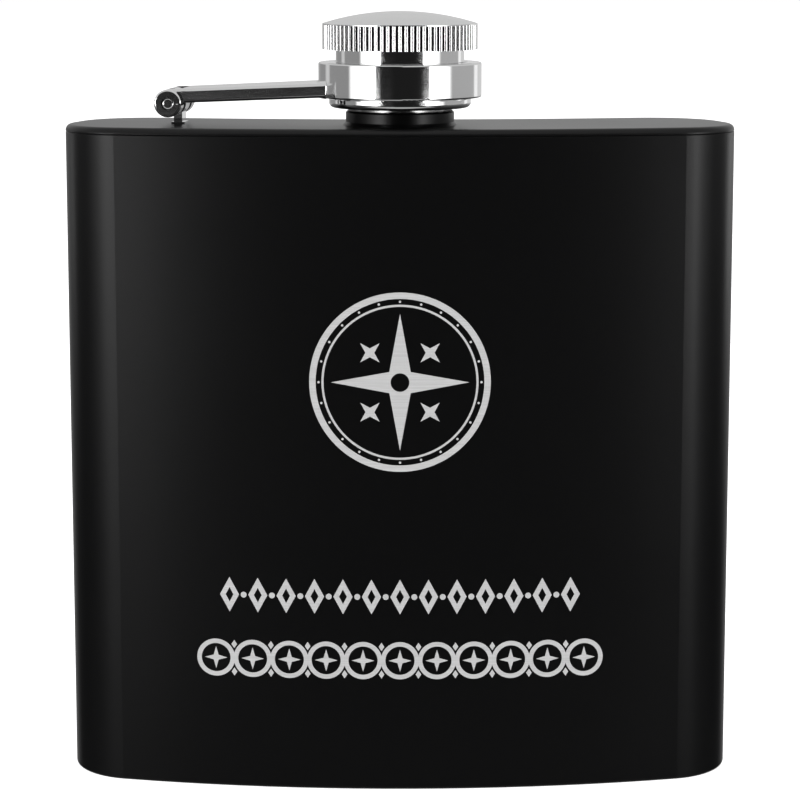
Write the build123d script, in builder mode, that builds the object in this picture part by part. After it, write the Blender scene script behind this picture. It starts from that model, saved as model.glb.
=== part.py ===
"""A six-ounce stainless steel hip flask with a captive screw cap.

The body is a curved, kidney-shaped can: a wrapped wall, a pressed top plate and a recessed
bottom plate. A threaded neck stands on the top plate. The cap turns in a ring at the end of
an arm, and the arm swings on a pin in a folded bracket near the left end of the top plate.

Frame: +Z up, +X to the right, -Y to the front, millimetres. The origin is the centre of the
body's outline on the plane that the flask stands on.
"""

import os
from math import asin, atan2, cos, degrees, hypot, radians, sin, sqrt

from build123d import *

os.makedirs("parts", exist_ok=True)

# ---------------------------------------------------------------- driving dimensions
# Body
body_width = 95.0
body_thickness = 23.0
body_height = 93.5
bow_radius = 170.0  # of the line half way between the front and the back wall
corner_radius = 10.0  # the rounded ends, seen from above
sheet = 0.6
rim_radius = 0.85  # the top plate's rounded edge
rim_height = 1.0  # how far the top plate's edge turns down
foot_recess = 1.3  # the bottom plate stands this far above the table
foot_radius = 0.35
seam_chamfer = 0.1  # the fine line where the top plate is welded on

# Neck, with heights above the top plate
neck_bore_radius = 5.5
neck_radius = 6.45
neck_height = 10.95
neck_weld_flange_radius = 9.0
collar_radius = 7.65
collar_height = 2.0
collar_weld = 0.45

# Thread
thread_pitch = 2.0
male_crest_radius = 7.0
female_crest_radius = 7.3
thread_root_width = 1.05
thread_crest_width = 0.4
male_thread_low, male_thread_turns = 4.9, 2.1
female_thread_low, female_thread_turns = 7.15, 1.5

# Cap, with heights above the top plate
flange_radius, flange_low, flange_high = 10.0, 2.45, 3.65
waist_radius = 9.05
cap_bore_radius = 7.75
insert_top = 13.6
seal_radius, seal_low, seal_high = 7.7, 11.0, 12.4
head_low, head_shoulder, dome_top = 10.6, 14.25, 15.9
head_radius = 10.92
knurl_root_radius, knurl_rib_radius, knurl_count = 10.4, 0.29, 80
head_rim, head_rim_radius = 0.24, 0.12  # the plain band above the knurl

# Ring and arm
ring_inner_radius, ring_outer_radius = 9.35, 11.5
ring_low, ring_high = 3.9, 8.8
ring_edge_radius = 0.25
arm_thickness = 2.0
arm_slope = 2.6
arm_width_at_hinge, arm_width_at_ring = 9.2, 12.6
arm_edge_radius = 0.45
braze_radius = 0.4  # the fillet of braze where the arm meets the ring
braze_low = 3.85  # it is dressed off level below this

# Hinge
hinge_distance = 32.2  # from the neck's axis, in plan
pin_height = 3.05  # above the top plate
pin_radius = 0.85
pin_end_radius = 0.35
pin_recess = 0.2
eye_inner_radius, eye_outer_radius = 0.9, 1.95
eye_edge_radius = 0.3
eye_slit = 0.3
knuckles_width = 11.2
fork_gap = 6.4
notch_radius = 2.6
bracket_width = 3.2
bracket_leg, bracket_leg_offset = 1.2, 0.75
bracket_foot_length, bracket_foot_thickness = 1.9, 0.25

# ---------------------------------------------------------------- derived places
front_bow_radius = bow_radius + body_thickness / 2
back_bow_radius = bow_radius - body_thickness / 2
front_corner_path = front_bow_radius - corner_radius
back_corner_path = back_bow_radius + corner_radius
end_angle = degrees(
    asin((body_width / 2 - corner_radius) / front_corner_path)
    + asin(corner_radius / front_corner_path)
)
back_corner_angle = end_angle - degrees(asin(corner_radius / back_corner_path))
front_reach = body_thickness / 2
back_reach = bow_radius - back_corner_path * cos(radians(back_corner_angle)) + corner_radius
neck_y = (front_reach - back_reach) / 2  # puts the outline's centre on the origin
bow_centre_y = neck_y + bow_radius

# The hinge stands on the bowed centreline of the top plate.
hinge_swing = 2 * asin(hinge_distance / (2 * bow_radius))
hinge_x = -bow_radius * sin(hinge_swing)
hinge_y = bow_centre_y - bow_radius * cos(hinge_swing)
arm_yaw = degrees(atan2(neck_y - hinge_y, -hinge_x))

top = body_height
neck_axis = Location((0, neck_y, 0))
arm_direction = Vector(cos(radians(arm_yaw)), sin(radians(arm_yaw)), 0)
hinge_plane = Plane(
    origin=(hinge_x, hinge_y, top + pin_height),
    x_dir=arm_direction,
    z_dir=arm_direction.cross(Vector(0, 0, 1)),
)  # its x runs along the arm, its y is up, and its normal is the hinge's axis, to the front
revolve_plane = Plane(origin=(0, neck_y, 0), x_dir=(1, 0, 0), z_dir=(0, -1, 0))
neck_line = Axis((0, neck_y, 0), (0, 0, 1))


# ---------------------------------------------------------------- shared shapes
def bowed_outline(inset=0.0):
    """The body's outline in plan, moved in from the outside by inset."""

    def at(radius, angle):
        return (radius * sin(radians(angle)), bow_centre_y - radius * cos(radians(angle)))

    def bow(radius):
        """An arc about the bow's centre that stops short of each end by the inset."""
        stop = end_angle - degrees(asin(inset / radius))
        return ThreePointArc(at(radius, -stop), at(radius, 0), at(radius, stop))

    with BuildSketch(mode=Mode.PRIVATE) as outline:
        with BuildLine():
            front = bow(front_bow_radius - inset)
            back = bow(back_bow_radius + inset)
            Line(front @ 0, back @ 0)
            Line(front @ 1, back @ 1)
        make_face()
        fillet(outline.vertices(), corner_radius - inset)
    return outline.sketch


def turned(points):
    """A ring turned about the neck's axis from (radius, height above the top plate) points."""
    with BuildPart(mode=Mode.PRIVATE) as ring:
        with BuildSketch(revolve_plane):
            with BuildLine():
                Polyline([(r, top + h) for r, h in points], close=True)
            make_face()
        revolve(axis=neck_line)
    return ring.part


def thread_ridge(root_radius, crest_radius, low, turns):
    """A helical ridge of trapezoid section, bedded a little into the wall it stands on."""
    bed = 0.15 if crest_radius > root_radius else -0.15
    start = Vector(root_radius, 0, 0)
    with BuildPart(mode=Mode.PRIVATE) as ridge:
        with BuildLine():
            path = Helix(thread_pitch, thread_pitch * turns, root_radius)
        with BuildSketch(Plane(origin=start, x_dir=(1, 0, 0), z_dir=path % 0)):
            with BuildLine():
                Polyline(
                    (-bed, -thread_root_width / 2),
                    (crest_radius - root_radius, -thread_crest_width / 2),
                    (crest_radius - root_radius, thread_crest_width / 2),
                    (-bed, thread_root_width / 2),
                    close=True,
                )
            make_face()
        sweep(path=path, is_frenet=True)
    return ridge.part.moved(Location((0, neck_y, top + low)))


def finish(piece, name):
    """Labels a finished piece and writes it to its own file."""
    piece.part.label = name
    export_step(piece.part, f"parts/{name}.step")


# ---------------------------------------------------------------- body
with BuildPart() as body_shell:
    with BuildSketch():
        add(bowed_outline())
    extrude(amount=body_height - rim_height)
    fillet(body_shell.faces().sort_by(Axis.Z)[0].outer_wire().edges(), foot_radius)
    chamfer(body_shell.faces().sort_by(Axis.Z)[-1].outer_wire().edges(), seam_chamfer)
    with BuildSketch():
        add(bowed_outline(sheet))
    extrude(amount=body_height, mode=Mode.SUBTRACT)
finish(body_shell, "body_shell")

with BuildPart() as top_plate:
    with BuildSketch(Plane.XY.offset(top - rim_height)):
        add(bowed_outline())
    extrude(amount=rim_height)
    fillet(top_plate.faces().sort_by(Axis.Z)[-1].outer_wire().edges(), rim_radius)
    chamfer(top_plate.faces().sort_by(Axis.Z)[0].outer_wire().edges(), seam_chamfer)
    with BuildSketch(Plane.XY.offset(top - rim_height)):
        add(bowed_outline(sheet))
    extrude(amount=rim_height - sheet, mode=Mode.SUBTRACT)
    with Locations((0, neck_y, top)):
        Hole(neck_radius)
finish(top_plate, "top_plate")

with BuildPart() as bottom_plate:
    with BuildSketch():
        add(bowed_outline(sheet))
    extrude(amount=foot_recess + sheet)
    with BuildSketch():
        add(bowed_outline(2 * sheet))
    extrude(amount=foot_recess, mode=Mode.SUBTRACT)
finish(bottom_plate, "bottom_plate")

# ---------------------------------------------------------------- neck
with BuildPart() as neck:
    add(
        turned(
            [
                (neck_bore_radius, -2 * sheet),
                (neck_weld_flange_radius, -2 * sheet),
                (neck_weld_flange_radius, -sheet),
                (neck_radius, -sheet),
                (neck_radius, neck_height),
                (neck_bore_radius, neck_height),
            ]
        )
    )
    lip = neck.faces().sort_by(Axis.Z)[-1]
    fillet(lip.edges(), 0.3)
    add(thread_ridge(neck_radius, male_crest_radius, male_thread_low, male_thread_turns))
finish(neck, "neck")

with BuildPart() as neck_collar:
    add(
        turned(
            [
                (neck_radius, 0),
                (collar_radius + collar_weld, 0),
                (collar_radius, collar_weld),
                (collar_radius, collar_height),
                (neck_radius, collar_height),
            ]
        )
    )
    chamfer(neck_collar.faces().sort_by(Axis.Z)[-1].outer_wire().edges(), 0.25)
finish(neck_collar, "neck_collar")

# ---------------------------------------------------------------- cap
with BuildPart() as cap_insert:
    add(
        turned(
            [
                (cap_bore_radius, flange_low),
                (flange_radius, flange_low),
                (flange_radius, flange_high),
                (waist_radius, flange_high),
                (waist_radius, insert_top),
                (0, insert_top),
                (0, seal_high),
                (cap_bore_radius, seal_high),
            ]
        )
    )
    rim_edges = cap_insert.edges().filter_by(GeomType.CIRCLE).group_by(Axis.Z)
    fillet(rim_edges[0].sort_by(SortBy.RADIUS)[-1], 0.7)
    chamfer(cap_insert.edges().group_by(Axis.Z)[0].sort_by(SortBy.RADIUS)[0], 0.35)
    add(
        thread_ridge(
            cap_bore_radius, female_crest_radius, female_thread_low, female_thread_turns
        )
    )
finish(cap_insert, "cap_insert")

with BuildPart() as seal_washer:
    add(turned([(0, seal_low), (seal_radius, seal_low), (seal_radius, seal_high), (0, seal_high)]))
    fillet(seal_washer.edges().group_by(Axis.Z)[0], 0.2)
finish(seal_washer, "seal_washer")

dome_rim_radius = head_radius - head_rim_radius
dome_rise = dome_top - head_shoulder
dome_sphere_radius = (dome_rim_radius**2 + dome_rise**2) / (2 * dome_rise)
dome_centre = top + dome_top - dome_sphere_radius

with BuildPart() as cap_head:
    # The knurled wall: straight ribs round a disc, under a plain rim.
    with BuildSketch(Plane.XY.offset(top + head_low)):
        with Locations((0, neck_y)):
            Circle(knurl_root_radius)
            with PolarLocations(head_radius - knurl_rib_radius, knurl_count):
                Circle(knurl_rib_radius)
    extrude(amount=head_shoulder - head_low - head_rim)
    with BuildSketch(Plane.XY.offset(top + head_shoulder - head_rim)):
        with Locations((0, neck_y)):
            Circle(head_radius)
    extrude(amount=head_rim)
    fillet(cap_head.faces().sort_by(Axis.Z)[-1].edges(), head_rim_radius)
    # The shallow dome on top of it.
    with BuildSketch(revolve_plane):
        with BuildLine():
            crown = ThreePointArc(
                (0, top + dome_top),
                (
                    dome_rim_radius / 2,
                    dome_centre + sqrt(dome_sphere_radius**2 - dome_rim_radius**2 / 4),
                ),
                (dome_rim_radius, top + head_shoulder),
            )
            Polyline(crown @ 1, (0, top + head_shoulder), crown @ 0)
        make_face()
    revolve(axis=neck_line)
    # The socket that the insert is pressed into.
    with BuildSketch(Plane.XY.offset(top + head_low)):
        with Locations((0, neck_y)):
            Circle(waist_radius)
    extrude(amount=insert_top - head_low, mode=Mode.SUBTRACT)
finish(cap_head, "cap_head")

# ---------------------------------------------------------------- ring and arm
with BuildPart() as swivel_ring:
    add(
        turned(
            [
                (ring_inner_radius, ring_low),
                (ring_outer_radius, ring_low),
                (ring_outer_radius, ring_high),
                (ring_inner_radius, ring_high),
            ]
        )
    )
    fillet(swivel_ring.edges().filter_by(GeomType.CIRCLE), ring_edge_radius)
finish(swivel_ring, "swivel_ring")

# Along the arm from the pin, and up from the pin.
arm_length = hinge_distance - ring_inner_radius
arm_middle = eye_outer_radius - arm_thickness / 2
bar_direction = hinge_plane.x_dir * cos(radians(arm_slope)) + Vector(0, 0, sin(radians(arm_slope)))
bar_plane = Plane(origin=hinge_plane.origin, x_dir=bar_direction, z_dir=hinge_plane.z_dir)


def is_at_joint(edge):
    """Whether the edge is where the bar runs into the ring's cylinder."""
    middle = edge @ 0.5
    height = middle.Z - top
    from_ring = abs(hypot(middle.X, middle.Y - neck_y) - ring_outer_radius)
    return from_ring < 0.01 and ring_low - braze_radius < height < ring_high - 0.1 and not edge.is_closed


with BuildPart() as retaining_arm:
    # The bar: a rounded section that runs on into the ring.
    for distance, width in ((0, arm_width_at_hinge), (arm_length, arm_width_at_ring)):
        place = bar_plane.from_local_coords((distance, arm_middle, 0))
        with BuildSketch(Plane(origin=place, x_dir=bar_plane.z_dir, z_dir=bar_plane.x_dir)):
            RectangleRounded(width, arm_thickness, arm_edge_radius)
    loft()
    # The braze: a fillet round the joint, left behind when the ring's cylinder is cut away.
    with BuildSketch(Plane.XY.offset(top + ring_low - 2 * braze_radius)):
        with Locations((0, neck_y)):
            Circle(ring_outer_radius)
    extrude(amount=ring_high - ring_low + 2 * braze_radius)
    fillet(retaining_arm.edges().filter_by(is_at_joint), braze_radius)
    with BuildSketch(Plane.XY.offset(top)):
        with Locations((0, neck_y)):
            Circle(ring_outer_radius)
    extrude(amount=ring_high, mode=Mode.SUBTRACT)
    with BuildSketch(Plane.XY.offset(top)):
        with Locations((0, neck_y)):
            Circle(ring_outer_radius + 2 * braze_radius)
    extrude(amount=braze_low, mode=Mode.SUBTRACT)
    # The curled end: two knuckles, bored for the pin, with the curl's slit below the bar.
    with BuildPart(hinge_plane, mode=Mode.PRIVATE) as curl:
        Cylinder(eye_outer_radius, knuckles_width)
        fillet(curl.edges().filter_by(GeomType.CIRCLE), eye_edge_radius)
    add(curl.part)
    with BuildSketch(hinge_plane):
        Circle(eye_inner_radius)
    extrude(amount=knuckles_width, both=True, mode=Mode.SUBTRACT)
    with BuildSketch(bar_plane):
        with Locations((eye_outer_radius, eye_outer_radius - arm_thickness - eye_slit / 2)):
            Rectangle(2 * eye_inner_radius, eye_slit)
    extrude(amount=knuckles_width, both=True, mode=Mode.SUBTRACT)
    with BuildSketch(hinge_plane):
        Circle(notch_radius)
    extrude(amount=fork_gap / 2, both=True, mode=Mode.SUBTRACT)
finish(retaining_arm, "retaining_arm")

# ---------------------------------------------------------------- hinge
with BuildPart() as hinge_bracket:
    # A strap folded round the pin, its two ends together as one leg on a welded foot.
    with BuildSketch(hinge_plane):
        Circle(eye_outer_radius)
        with Locations((bracket_leg_offset, -pin_height / 2)):
            Rectangle(bracket_leg, pin_height)
        with Locations((bracket_leg_offset, bracket_foot_thickness / 2 - pin_height)):
            Rectangle(bracket_foot_length, bracket_foot_thickness)
        Circle(eye_inner_radius, mode=Mode.SUBTRACT)
    extrude(amount=bracket_width / 2, both=True)
finish(hinge_bracket, "hinge_bracket")

with BuildPart() as hinge_pin:
    with BuildSketch(hinge_plane):
        Circle(pin_radius)
    extrude(amount=knuckles_width / 2 - pin_recess, both=True)
    fillet(hinge_pin.edges().filter_by(GeomType.CIRCLE), pin_end_radius)
finish(hinge_pin, "hinge_pin")
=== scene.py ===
"""Looks for the matt black hip flask: coat, bright cap, engraving, studio and camera.

Lengths are in metres, except where they are said to be in millimetres. The body and the cap are
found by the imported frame. The few facts about their shapes that the frame doesn't hold, such as
the radius of the bowed front, are repeated here.
"""

import math

import bmesh
import bpy
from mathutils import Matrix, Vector


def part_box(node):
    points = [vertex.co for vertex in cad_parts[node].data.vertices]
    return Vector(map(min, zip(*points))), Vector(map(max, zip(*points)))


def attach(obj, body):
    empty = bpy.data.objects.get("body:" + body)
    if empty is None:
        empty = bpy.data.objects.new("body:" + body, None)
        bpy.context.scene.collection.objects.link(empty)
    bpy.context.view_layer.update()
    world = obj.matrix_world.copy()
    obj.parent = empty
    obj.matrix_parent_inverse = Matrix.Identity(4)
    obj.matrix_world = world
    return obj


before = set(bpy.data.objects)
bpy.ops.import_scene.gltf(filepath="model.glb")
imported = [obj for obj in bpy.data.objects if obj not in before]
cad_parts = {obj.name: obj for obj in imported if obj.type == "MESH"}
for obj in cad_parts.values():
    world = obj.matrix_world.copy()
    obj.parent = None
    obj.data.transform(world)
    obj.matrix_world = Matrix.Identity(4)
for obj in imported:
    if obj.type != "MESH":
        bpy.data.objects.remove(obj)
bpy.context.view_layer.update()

MM = 0.001

# ---------------------------------------------------------------- sizes, and places from the frame
FRONT_BOW_RADIUS = 181.5 * MM
KNURL_SHADE_FROM = 0.12 * MM  # painted shade in the grooves begins at this depth
KNURL_SHADE_TO = 0.50 * MM  # and is darkest, near black, at their roots
DOME_HEIGHT = 1.90 * MM  # with the plain band under it

body_low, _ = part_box("body_shell")
head_low, head_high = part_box("cap_head")
cap_axis = (head_low + head_high) / 2
head_radius = head_high.x  # the cap stands over x = 0
front_bow_centre_y = body_low.y + FRONT_BOW_RADIUS


# ---------------------------------------------------------------- node helpers
class Nodes:
    """Short calls for building a node tree."""

    def __init__(self, tree):
        self.tree = tree
        tree.nodes.clear()

    def add(self, kind, **settings):
        """A node of that kind. A setting is a property, or an input if its name has a capital."""
        node = self.tree.nodes.new(kind)
        for name, value in settings.items():
            if name[0].isupper():
                node.inputs[name.replace("_", " ")].default_value = value
            else:
                setattr(node, name, value)
        return node

    def link(self, source, target):
        self.tree.links.new(source, target)

    def math(self, operation, a, b=0.0, c=0.0):
        """One operation on up to three terms, each a number or a socket."""
        node = self.tree.nodes.new("ShaderNodeMath")
        node.operation = operation
        for socket, value in zip(node.inputs, (a, b, c)):
            if isinstance(value, (int, float)):
                socket.default_value = value
            else:
                self.link(value, socket)
        return node.outputs[0]

    def noise(self, scale, detail=2.0, roughness=0.5, stretch=(1, 1, 1)):
        """Noise in the object's own metres; stretch scales each axis."""
        place = self.add("ShaderNodeTexCoord").outputs["Object"]
        mapping = self.add("ShaderNodeMapping", Scale=stretch)
        self.link(place, mapping.inputs["Vector"])
        noise = self.add("ShaderNodeTexNoise", Scale=scale, Detail=detail, Roughness=roughness)
        self.link(mapping.outputs[0], noise.inputs["Vector"])
        return noise.outputs["Fac"]

    def spread(self, factor, low, high):
        """Maps a 0 to 1 factor onto low to high."""
        node = self.add("ShaderNodeMapRange", To_Min=low, To_Max=high)
        self.link(factor, node.inputs["Value"])
        return node.outputs[0]

    def bump(self, height, strength, distance, normal=None):
        """A normal bumped by the height, over the normal given."""
        node = self.add("ShaderNodeBump", Strength=strength, Distance=distance)
        self.link(height, node.inputs["Height"])
        if normal is not None:
            self.link(normal, node.inputs["Normal"])
        return node.outputs[0]

    def tint(self, factor, dark, light):
        """A colour between dark and light."""
        ramp = self.add("ShaderNodeValToRGB")
        ramp.color_ramp.elements[0].color = (*dark, 1)
        ramp.color_ramp.elements[1].color = (*light, 1)
        self.link(factor, ramp.inputs[0])
        return ramp.outputs[0]


def new_material(name, **settings):
    """A material with one Principled shader, its helper, and that shader."""
    material = bpy.data.materials.new(name)
    material.use_nodes = True
    nodes = Nodes(material.node_tree)
    output = nodes.add("ShaderNodeOutputMaterial")
    shader = nodes.add("ShaderNodeBsdfPrincipled", **settings)
    nodes.link(shader.outputs[0], output.inputs["Surface"])
    return material, nodes, shader


# ---------------------------------------------------------------- materials
def powder_coat():
    """Matt black powder coat: a fine grain, with slow changes in sheen."""
    material, nodes, shader = new_material("black_powder_coat", IOR=1.38)
    colour = nodes.tint(nodes.noise(900, 3), (0.0017, 0.0017, 0.0018), (0.0033, 0.0033, 0.0035))
    nodes.link(colour, shader.inputs["Base Color"])
    nodes.link(nodes.spread(nodes.noise(45, 2), 0.27, 0.32), shader.inputs["Roughness"])
    grain = nodes.noise(3800, 2, 0.6)
    nodes.link(nodes.bump(grain, 0.35, 0.00002), shader.inputs["Normal"])
    return material


def polished_steel():
    """Bright steel with faint polishing marks and a slow waviness."""
    material, nodes, shader = new_material("bright_steel", Metallic=1.0)
    colour = nodes.tint(nodes.noise(220, 3), (0.86, 0.86, 0.86), (0.90, 0.90, 0.905))
    nodes.link(colour, shader.inputs["Base Color"])
    smear = nodes.noise(500, 4, 0.6, stretch=(1, 1, 8))
    nodes.link(nodes.spread(smear, 0.05, 0.10), shader.inputs["Roughness"])
    waves = nodes.bump(nodes.noise(160, 1), 0.10, 0.00008)
    scratches = nodes.noise(2500, 3, 0.7, stretch=(1, 1, 14))
    nodes.link(nodes.bump(scratches, 0.05, 0.00001, waves), shader.inputs["Normal"])
    return material


def knurled_steel():
    """The head's satin steel, with painted shade that darkens the grooves of its knurl towards
    their roots.
    """
    material, nodes, shader = new_material("head_steel", Metallic=1.0)
    place = nodes.add("ShaderNodeTexCoord").outputs["Object"]
    outwards = nodes.add("ShaderNodeVectorMath", operation="MULTIPLY_ADD")
    nodes.link(place, outwards.inputs[0])
    outwards.inputs[1].default_value = (1, 1, 0)
    outwards.inputs[2].default_value = (-cap_axis.x, -cap_axis.y, 0)
    from_axis = nodes.add("ShaderNodeVectorMath", operation="LENGTH")
    nodes.link(outwards.outputs[0], from_axis.inputs[0])
    # Painted shade: below the dome, the knurl's grooves go from steel to near black as they
    # deepen, standing in for the shade in them.
    depth = nodes.add(
        "ShaderNodeMapRange",
        From_Min=head_radius - KNURL_SHADE_TO,
        From_Max=head_radius - KNURL_SHADE_FROM,
        To_Min=1,
        To_Max=0,
    )
    nodes.link(from_axis.outputs["Value"], depth.inputs["Value"])
    height = nodes.add("ShaderNodeSeparateXYZ")
    nodes.link(place, height.inputs[0])
    below_dome = nodes.math("LESS_THAN", height.outputs[2], head_high.z - DOME_HEIGHT)
    dark = nodes.math("MULTIPLY", depth.outputs[0], below_dome)
    # The near black here is the painted shade at the grooves' roots.
    steel = nodes.add("ShaderNodeMix", data_type="RGBA")
    nodes.link(dark, steel.inputs["Factor"])
    nodes.link(nodes.tint(nodes.noise(220, 3), (0.86,) * 3, (0.905,) * 3), steel.inputs[6])
    steel.inputs[7].default_value = (0.02, 0.02, 0.02, 1)
    nodes.link(steel.outputs[2], shader.inputs["Base Color"])
    smear = nodes.noise(500, 4, 0.6, stretch=(1, 1, 8))
    nodes.link(nodes.spread(smear, 0.13, 0.22), shader.inputs["Roughness"])
    scratches = nodes.noise(2500, 3, 0.7, stretch=(1, 1, 14))
    nodes.link(nodes.bump(scratches, 0.05, 0.00001), shader.inputs["Normal"])
    return material


def turned_steel():
    """Bare steel with the fine rings that a lathe leaves."""
    material, nodes, shader = new_material("turned_steel", Metallic=1.0)
    colour = nodes.tint(nodes.noise(300, 3), (0.50, 0.50, 0.50), (0.60, 0.60, 0.605))
    nodes.link(colour, shader.inputs["Base Color"])
    nodes.link(nodes.spread(nodes.noise(600, 2), 0.18, 0.34), shader.inputs["Roughness"])
    rings = nodes.noise(300, 2, 0.5, stretch=(0.05, 0.05, 40))
    nodes.link(nodes.bump(rings, 0.3, 0.00002), shader.inputs["Normal"])
    return material


def silicone():
    """Milky silicone with a soft sheen."""
    material, nodes, shader = new_material(
        "milky_silicone", Subsurface_Weight=0.3, Subsurface_Scale=0.001
    )
    colour = nodes.tint(nodes.noise(400, 2), (0.62, 0.62, 0.60), (0.72, 0.72, 0.70))
    nodes.link(colour, shader.inputs["Base Color"])
    nodes.link(nodes.spread(nodes.noise(900, 2), 0.42, 0.55), shader.inputs["Roughness"])
    nodes.link(nodes.bump(nodes.noise(2500, 2), 0.1, 0.00002), shader.inputs["Normal"])
    return material


def engraved_silver():
    """Where the laser has taken the coat off: pale grey with the beam's fine level lines."""
    material, nodes, shader = new_material("laser_engraving", Metallic=0.25, IOR=1.45)
    lines = nodes.noise(700, 2, 0.5, stretch=(0.15, 0.15, 12))
    colour = nodes.tint(lines, (0.46, 0.46, 0.46), (0.66, 0.66, 0.66))
    nodes.link(colour, shader.inputs["Base Color"])
    nodes.link(nodes.spread(nodes.noise(1500, 2), 0.45, 0.62), shader.inputs["Roughness"])
    nodes.link(nodes.bump(lines, 0.3, 0.00002), shader.inputs["Normal"])
    return material


coat = powder_coat()
bright = polished_steel()
head_steel = knurled_steel()
turned = turned_steel()
seal = silicone()
engraving = engraved_silver()

finishes = {
    "body_shell": coat,
    "top_plate": coat,
    "bottom_plate": coat,
    "neck_collar": coat,
    "neck": turned,
    "cap_head": head_steel,
    "cap_insert": bright,
    "seal_washer": seal,
    "swivel_ring": bright,
    "retaining_arm": bright,
    "hinge_bracket": bright,
    "hinge_pin": bright,
}
for node_name, finish in finishes.items():
    node_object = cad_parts[node_name]
    for material_slot in node_object.material_slots:
        material_slot.material = finish


# ---------------------------------------------------------------- engraving
ENGRAVING_PROUD = 0.02 * MM  # the piece's face, over the coat
ENGRAVING_DEPTH = 0.15 * MM  # how far it runs into the wall behind
BEND_STEP = 1.0 * MM  # outlines are cut at least this often, so that they follow the bow


def from_centre(centre, radius, angle):
    """The point that far from the centre, in millimetres on the front."""
    return (centre[0] + radius * math.cos(angle), centre[1] + radius * math.sin(angle))


def circle(centre, radius, steps=96):
    return [from_centre(centre, radius, 2 * math.pi * i / steps) for i in range(steps)]


def star(centre, tip, waist, start=math.pi / 2):
    """A four-pointed star: the radius of its tips, and of the waists between them."""
    return [
        from_centre(centre, waist if i % 2 else tip, start + math.pi * i / 4) for i in range(8)
    ]


def lozenge(centre, half_width, half_height):
    x, z = centre
    return [(x + half_width, z), (x, z + half_height), (x - half_width, z), (x, z - half_height)]


def subdivided(outline, step):
    """The outline with points added so that no edge is longer than step."""
    points = []
    for (x0, z0), (x1, z1) in zip(outline, outline[1:] + outline[:1]):
        count = max(1, math.ceil(math.hypot(x1 - x0, z1 - z0) / step))
        points += [(x0 + (x1 - x0) * i / count, z0 + (z1 - z0) * i / count) for i in range(count)]
    return points


def on_front(x, z, rise):
    """The place on the bowed front at x, z millimetres, that far out from the wall."""
    radius = FRONT_BOW_RADIUS + rise
    y = front_bow_centre_y - math.sqrt(radius**2 - (x * MM) ** 2)
    return (x * MM, y, z * MM)


def engrave(name, regions):
    """One piece of thin plates let into the front. A region is an outline and its holes."""
    mesh = bpy.data.meshes.new(name)
    made = bmesh.new()
    for outline, *holes in regions:
        flat = bmesh.new()
        edges = []
        for loop in (outline, *holes):
            verts = [flat.verts.new((x, 0, z)) for x, z in subdivided(loop, BEND_STEP / MM)]
            edges += [flat.edges.new((a, b)) for a, b in zip(verts, verts[1:] + verts[:1])]
        bmesh.ops.triangle_fill(flat, use_beauty=True, use_dissolve=False, edges=edges)
        bmesh.ops.recalc_face_normals(flat, faces=flat.faces)
        if flat.faces and flat.faces[0].normal.y > 0:
            bmesh.ops.reverse_faces(flat, faces=flat.faces)
        front = list(flat.faces)
        border = [e for e in flat.edges if e.is_boundary]
        back = bmesh.ops.duplicate(flat, geom=[*flat.verts, *flat.edges, *front])
        back_faces = [g for g in back["geom"] if isinstance(g, bmesh.types.BMFace)]
        back_verts = {g for g in back["geom"] if isinstance(g, bmesh.types.BMVert)}
        bmesh.ops.reverse_faces(flat, faces=back_faces)
        vert_map = back["vert_map"]
        for edge in border:
            a, b = edge.verts
            loop = edge.link_loops[0]
            if loop.vert is a:
                a, b = b, a
            flat.faces.new((a, b, vert_map[b], vert_map[a]))
        for vert in flat.verts:
            rise = -ENGRAVING_DEPTH if vert in back_verts else ENGRAVING_PROUD
            vert.co = on_front(vert.co.x, vert.co.z, rise)
        part = bpy.data.meshes.new("part")
        flat.to_mesh(part)
        made.from_mesh(part)
        bpy.data.meshes.remove(part)
        flat.free()
    made.to_mesh(mesh)
    made.free()
    piece = bpy.data.objects.new(name, mesh)
    bpy.context.scene.collection.objects.link(piece)
    mesh.materials.append(engraving)
    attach(piece, "flask")
    return piece


# A compass rose in a ring stands where a customer's badge would be engraved. Millimetres.
BADGE = (0.0, 58.5)
BADGE_RING = (12.6, 11.7)  # outer and inner radius
FINE_RING = (10.9, 10.6)
ROSE_TIP, ROSE_WAIST, ROSE_HUB = 9.6, 2.1, 1.3
SMALL_STAR_TIP, SMALL_STAR_WAIST, SMALL_STAR_PATH = 1.9, 0.62, 5.9
DOTS, DOT_PATH, DOT_RADIUS = 24, 11.3, 0.17
regions = [tuple(circle(BADGE, radius) for radius in ring) for ring in (BADGE_RING, FINE_RING)]
regions.append((star(BADGE, ROSE_TIP, ROSE_WAIST), circle(BADGE, ROSE_HUB, 48)))
for i in range(4):
    angle = math.pi / 4 + math.pi / 2 * i
    place = from_centre(BADGE, SMALL_STAR_PATH, angle)
    regions.append((star(place, SMALL_STAR_TIP, SMALL_STAR_WAIST, start=angle),))
for i in range(DOTS):
    place = from_centre(BADGE, DOT_PATH, 2 * math.pi * i / DOTS)
    regions.append((circle(place, DOT_RADIUS, 12),))
engrave("engraved_badge", regions)

# Two ornamental borders stand where lines of lettering would be: lozenges with dots between
# them, and ringed stars with small lozenges above and below each join.
UPPER_Z, UPPER_PITCH = 28.0, 4.0
LOZENGE, LOZENGE_HOLE = (1.35, 2.5), (0.55, 1.05)  # half widths and half heights
UPPER_DOT_RADIUS = 0.42
regions = []
for i in range(-6, 7):
    place = (i * UPPER_PITCH, UPPER_Z)
    regions.append((lozenge(place, *LOZENGE), lozenge(place, *LOZENGE_HOLE)))
for i in range(-6, 6):
    regions.append((circle((i * UPPER_PITCH + UPPER_PITCH / 2, UPPER_Z), UPPER_DOT_RADIUS, 24),))
engrave("engraved_border_upper", regions)

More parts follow.
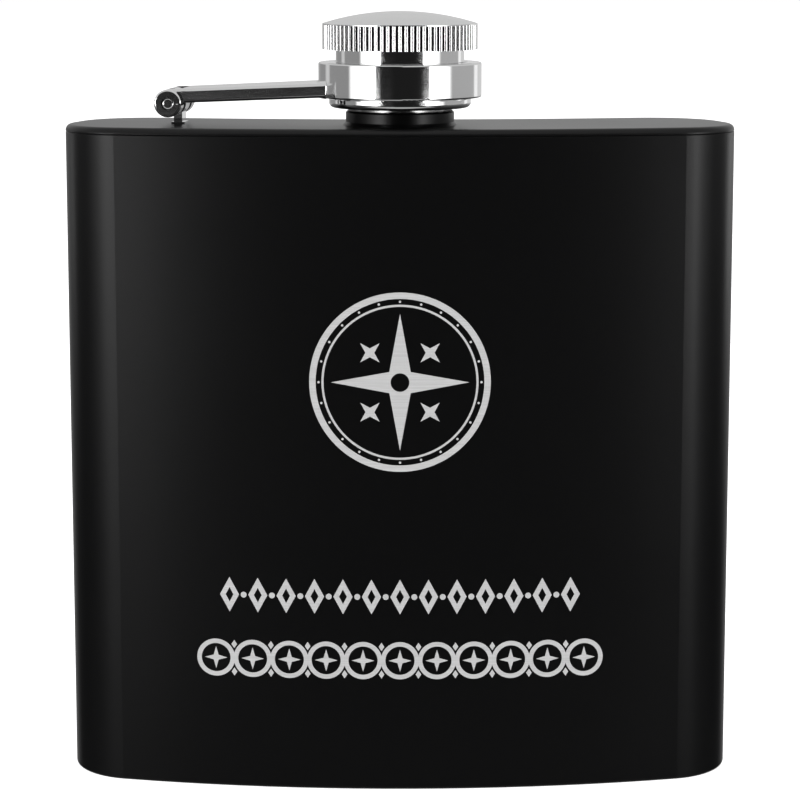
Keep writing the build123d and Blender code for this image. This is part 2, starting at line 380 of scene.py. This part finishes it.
LOWER_Z, LOWER_PITCH = 18.8, 5.2
LOWER_RING = (2.7, 2.05)
LOWER_STAR_TIP, LOWER_STAR_WAIST = 1.6, 0.5
SMALL_LOZENGE, SMALL_LOZENGE_OFFSET = (0.4, 0.6), 2.0
regions = []
for i in range(-5, 6):
    place = (i * LOWER_PITCH, LOWER_Z)
    regions.append(tuple(circle(place, radius, 64) for radius in LOWER_RING))
    regions.append((star(place, LOWER_STAR_TIP, LOWER_STAR_WAIST),))
for i in range(-5, 5):
    x = i * LOWER_PITCH + LOWER_PITCH / 2
    for z in (LOWER_Z + SMALL_LOZENGE_OFFSET, LOWER_Z - SMALL_LOZENGE_OFFSET):
        regions.append((lozenge((x, z), *SMALL_LOZENGE),))
engrave("engraved_border_lower", regions)


# ---------------------------------------------------------------- studio
FLOOR_RADIUS = 6.0


def pale_floor():
    """The plain floor, which glows a little and isn't mirrored in the steel."""
    material, nodes, shader = new_material("pale_floor", Roughness=0.9, Emission_Strength=0.7)
    colour = nodes.tint(nodes.noise(3, 2), (0.86, 0.86, 0.86), (0.88, 0.88, 0.88))
    nodes.link(colour, shader.inputs["Base Color"])
    nodes.link(nodes.bump(nodes.noise(60, 2), 0.1, 0.0005), shader.inputs["Normal"])
    mesh = bpy.data.meshes.new("floor")
    made = bmesh.new()
    bmesh.ops.create_circle(made, cap_ends=True, radius=FLOOR_RADIUS, segments=96)
    made.to_mesh(mesh)
    made.free()
    mesh.materials.append(material)
    floor = bpy.data.objects.new("floor", mesh)
    bpy.context.scene.collection.objects.link(floor)
    floor.visible_glossy = False


# Degrees round from the front, and how bright the studio is there: level with the eye, a little
# below it, and further down.
LEVEL_WALLS = (
    [(-180, 0.62), (-150, 0.28), (-131, 0.28), (-127, 0.6), (-119, 0.6), (-116, 0.28)]
    + [(-77, 0.28), (-73, 1.2), (-60, 2.2), (-48, 6.0), (-37, 6.0), (-34.5, 0.012)]
    + [(41.5, 0.012), (44, 6.0), (51, 6.0)]
    + [(61, 2.2), (74, 1.2), (78, 0.42), (127, 0.42), (130, 0.95), (139, 0.95), (143, 0.65)]
)
LOW_WALLS = (
    [(-180, 0.4), (-132, 0.4), (-128, 1.8), (-119, 1.8), (-115, 0.04), (-61, 0.04), (-53, 2.2)]
    + [(-46, 3.6), (-41, 5.4), (-35, 12.0), (-30, 13.0), (-28, 0.6), (-22, 0.2), (-17, 0.3)]
    + [(-8, 0.012), (15, 0.012), (26, 0.05), (31, 0.4), (36, 7.0), (41, 10.0), (50, 6.5)]
    + [(58, 0.04), (119, 0.04), (123, 2.4), (138, 2.4), (142, 0.4)]
)
DEEP_WALLS = [(-180, 0.4), (-155, 0.4), (-130, 0.01), (130, 0.01), (155, 0.4)]
FLOOR_GLOW = 0.4
CEILING = 0.6

# Where one gives way to the next, as the upward part of a unit direction.
LOW_TO_LEVEL = (-0.084, -0.068)
FALL_START, FALL_RATE = 0.085, 40.0  # how far down the low walls start to fall off, and how fast
WALLS_TO_FLOOR = (-0.38, -0.55)
WALLS_TO_CEILING = (0.08, 0.22)
# The dark panel in front stands higher than the walls where the forward part of a direction is
# over PANEL_EDGE: by what it is over, times PANEL_RISE.
PANEL_EDGE, PANEL_RISE = 0.8, 4.0


def studio_walls():
    """A dark panel in front, a softbox on each side of it, and pale grey walls and ceiling."""
    world = bpy.data.worlds.new("studio")
    bpy.context.scene.world = world
    world.use_nodes = True
    nodes = Nodes(world.node_tree)
    direction = nodes.add("ShaderNodeTexCoord").outputs["Generated"]
    split = nodes.add("ShaderNodeSeparateXYZ")
    nodes.link(direction, split.inputs[0])
    x, y, z = split.outputs
    from_front = nodes.math("ARCTAN2", x, nodes.math("MULTIPLY", y, -1.0))
    turn = nodes.math("MULTIPLY_ADD", from_front, 0.5 / math.pi, 0.5)

    def ring_of_walls(stops):
        ramp = nodes.add("ShaderNodeValToRGB")
        elements = ramp.color_ramp.elements
        while len(elements) < len(stops):
            elements.new(0.5)
        for element, (degrees, level) in zip(elements, stops):
            element.position = 0.5 + degrees / 360
            element.color = (level, level, level, 1)
        nodes.link(turn, ramp.inputs[0])
        return ramp.outputs[0]

    def blend(factor, low, high):
        mix = nodes.add("ShaderNodeMix", data_type="RGBA")
        nodes.link(factor, mix.inputs["Factor"])
        for socket, value in ((mix.inputs[6], low), (mix.inputs[7], high)):
            if isinstance(value, float):
                socket.default_value = (value, value, value, 1)
            else:
                nodes.link(value, socket)
        return mix.outputs[2]

    def passing(height, start, end):
        """From 0 to 1 as the height passes from start to end."""
        step = nodes.add("ShaderNodeMapRange", interpolation_type="SMOOTHSTEP")
        step.inputs["From Min"].default_value = start
        step.inputs["From Max"].default_value = end
        nodes.link(height, step.inputs["Value"])
        return step.outputs[0]

    # Further down the walls fall off into shade.
    drop = nodes.math("MINIMUM", nodes.math("ADD", z, FALL_START), 0.0)
    shade = nodes.math("EXPONENT", nodes.math("MULTIPLY", drop, FALL_RATE))
    low_walls = blend(shade, ring_of_walls(DEEP_WALLS), ring_of_walls(LOW_WALLS))
    walls = blend(passing(z, *LOW_TO_LEVEL), low_walls, ring_of_walls(LEVEL_WALLS))
    walls_and_floor = blend(passing(z, *WALLS_TO_FLOOR), walls, FLOOR_GLOW)
    # The dark panel in front has a round top that stands higher than the walls.
    ahead = nodes.math("MINIMUM", nodes.math("ADD", y, PANEL_EDGE), 0.0)
    lowered = nodes.math("MULTIPLY_ADD", ahead, PANEL_RISE, z)
    room = blend(passing(lowered, *WALLS_TO_CEILING), walls_and_floor, CEILING)
    light = nodes.add("ShaderNodeBackground")
    nodes.link(room, light.inputs["Color"])
    backdrop = nodes.add("ShaderNodeBackground", Color=(1, 1, 1, 1))
    seen = nodes.add("ShaderNodeLightPath").outputs["Is Camera Ray"]
    both = nodes.add("ShaderNodeMixShader")
    nodes.link(seen, both.inputs[0])
    nodes.link(light.outputs[0], both.inputs[1])
    nodes.link(backdrop.outputs[0], both.inputs[2])
    output = nodes.add("ShaderNodeOutputWorld")
    nodes.link(both.outputs[0], output.inputs["Surface"])


SOFTBOX_PLACE = Vector((0, -0.3, 1.6))
SOFTBOX_TARGET = Vector((0, 0, 0.05))
SOFTBOX_WIDTH, SOFTBOX_DEPTH = 1.4, 1.0
SOFTBOX_WATTS = 18


def softbox():
    """The overhead light, which isn't mirrored in the steel."""
    lamp = bpy.data.lights.new("overhead", "AREA")
    lamp.shape = "RECTANGLE"
    lamp.size, lamp.size_y = SOFTBOX_WIDTH, SOFTBOX_DEPTH
    lamp.energy = SOFTBOX_WATTS
    holder = bpy.data.objects.new("overhead", lamp)
    bpy.context.scene.collection.objects.link(holder)
    holder.location = SOFTBOX_PLACE
    holder.rotation_euler = (SOFTBOX_TARGET - SOFTBOX_PLACE).to_track_quat("-Z", "Y").to_euler()
    holder.visible_glossy = False


pale_floor()
studio_walls()
softbox()

# ---------------------------------------------------------------- camera
CAMERA_DISTANCE = 0.350
CAMERA_HEIGHT = 0.117
CAMERA_PITCH = math.radians(7.85)
FOCAL_LENGTH = 110.9  # millimetres, on a sensor 36 mm wide
FRAMING_SHIFT = -0.13

lens = bpy.data.cameras.new("camera")
lens.sensor_width = 36
lens.lens = FOCAL_LENGTH
lens.shift_y = FRAMING_SHIFT
lens.clip_start = 0.01
lens.clip_end = 50
camera = bpy.data.objects.new("camera", lens)
bpy.context.scene.collection.objects.link(camera)
camera.location = (0, -CAMERA_DISTANCE, CAMERA_HEIGHT)
camera.rotation_euler = (math.pi / 2 - CAMERA_PITCH, 0, 0)
bpy.context.scene.camera = camera
bpy.context.scene.view_settings.view_transform = "Standard"
